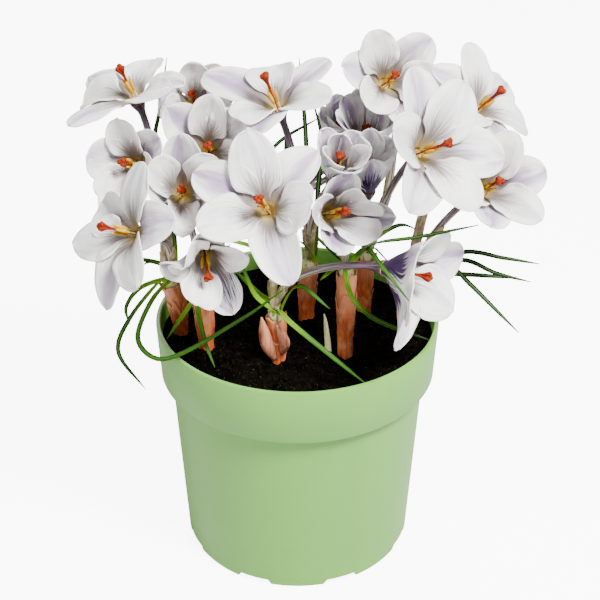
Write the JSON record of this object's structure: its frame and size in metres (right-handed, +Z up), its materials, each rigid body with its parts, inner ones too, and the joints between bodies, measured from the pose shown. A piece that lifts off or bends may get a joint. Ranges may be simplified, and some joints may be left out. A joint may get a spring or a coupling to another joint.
{
  "type": "potted crocus",
  "caption": "Plastic nursery pot of soil with tufts of grassy leaves in papery sheaths and wide-open white crocus blooms on slim tubes.",
  "frame": {"origin": "centre of the pot's underside, on the surface it rests on", "axes": "+Z up, the front of the pot toward -Y, +X to the right of someone facing the front"},
  "size_m": [0.1916, 0.1562, 0.2284],
  "materials": {
    "pot": "satin pale green",
    "soil": "damp dark peat",
    "sheath": "dry papery skin, orange brown",
    "leaf": "smooth leaf with a pale midrib",
    "tepal": "silky white petal with faint violet veins",
    "heart": "orange style over yellow anthers"
  },
  "bodies": {
    "root": {"pot": "pot", "soil": "soil", "sprout": "leaf", "sheath_1": "sheath", "sheath_2": "sheath", "sheath_3": "sheath", "sheath_4": "sheath", "sheath_5": "sheath", "sheath_6": "sheath", "sheath_7": "sheath", "sheath_8": "sheath", "sheath_9": "sheath", "leaves_1": "leaf", "leaves_2": "leaf", "leaves_3": "leaf", "leaves_4": "leaf", "leaves_5": "leaf", "leaves_6": "leaf", "leaves_7": "leaf", "leaves_8": "leaf", "leaves_9": "leaf", "bloom_a": "tepal", "bloom_b": "tepal", "bloom_c": "tepal", "bloom_d": "tepal", "bloom_e": "tepal", "bloom_f": "tepal", "bloom_g": "tepal", "bloom_h": "tepal", "bloom_i": "tepal", "bloom_j": "tepal", "bloom_k": "tepal", "bloom_l": "tepal", "bloom_m": "tepal", "bloom_n": "tepal", "bloom_o": "tepal", "bloom_p": "tepal", "bloom_q": "tepal", "bloom_r": "tepal", "bloom_s": "tepal", "heart_a": "heart", "heart_b": "heart", "heart_c": "heart", "heart_d": "heart", "heart_e": "heart", "heart_f": "heart", "heart_g": "heart", "heart_h": "heart", "heart_i": "heart", "heart_j": "heart", "heart_k": "heart", "heart_l": "heart", "heart_m": "heart", "heart_n": "heart", "heart_o": "heart", "heart_p": "heart", "heart_q": "heart", "heart_r": "heart", "heart_s": "heart"}
  },
  "joints": []
}
